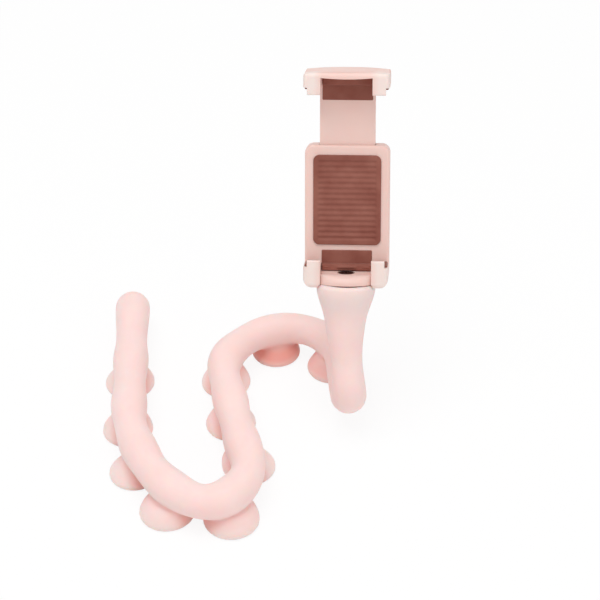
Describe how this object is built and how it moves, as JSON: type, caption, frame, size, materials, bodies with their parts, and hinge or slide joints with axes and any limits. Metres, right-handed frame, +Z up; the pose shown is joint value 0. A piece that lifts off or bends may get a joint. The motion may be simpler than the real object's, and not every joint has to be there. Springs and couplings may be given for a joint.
{
  "type": "bendable suction-cup phone holder",
  "caption": "Bendable worm-shaped silicone phone holder lying in an S on suction cups, with a flared neck and a sprung clamp that swivels and grips a phone by its long edges.",
  "frame": {"origin": "on the table, under the middle of the holder's bounding box", "axes": "+Z up from the table, -Y towards the side that the phone's screen faces, +X to the right of the picture"},
  "size_m": [0.1396, 0.1594, 0.1693],
  "materials": {
    "silicone": "soft matte pale pink silicone",
    "clamp_plastic": "satin pale pink plastic",
    "grip_rubber": "matte darker pink grip pad",
    "insert_plastic": "plain hard plastic, hidden",
    "core_wire": "drawn soft wire, hidden",
    "steel": "plated small screws",
    "spring_steel": "bright drawn spring wire"
  },
  "bodies": {
    "stand": {"worm_body": "silicone", "bend_core": "core_wire", "neck_plug": "insert_plastic", "pivot_screw": "steel", "pivot_washer": "steel"},
    "clamp": {"lower_jaw": "clamp_plastic", "lower_jaw_pads": "grip_rubber", "back_pad": "grip_rubber", "rear_cover": "clamp_plastic", "cover_screws": "steel", "clamp_spring": "spring_steel"},
    "jaw": {"upper_jaw": "clamp_plastic", "upper_jaw_pads": "grip_rubber"}
  },
  "joints": [
    {"name": "swivel", "type": "hinge", "parent": "stand", "child": "clamp", "pos_m": [0.04891, 0.01534, 0.07562], "axis": [0, 0.4226, 0.9063], "continuous": true},
    {"name": "jaw_slide", "type": "slide", "parent": "clamp", "child": "jaw", "axis": [0, 0.4226, 0.9063], "range_m": [-0.0266, 0.0054], "stiffness_N_per_m": 240, "springref_m": -0.036, "deforming": ["clamp_spring"]}
  ]
}
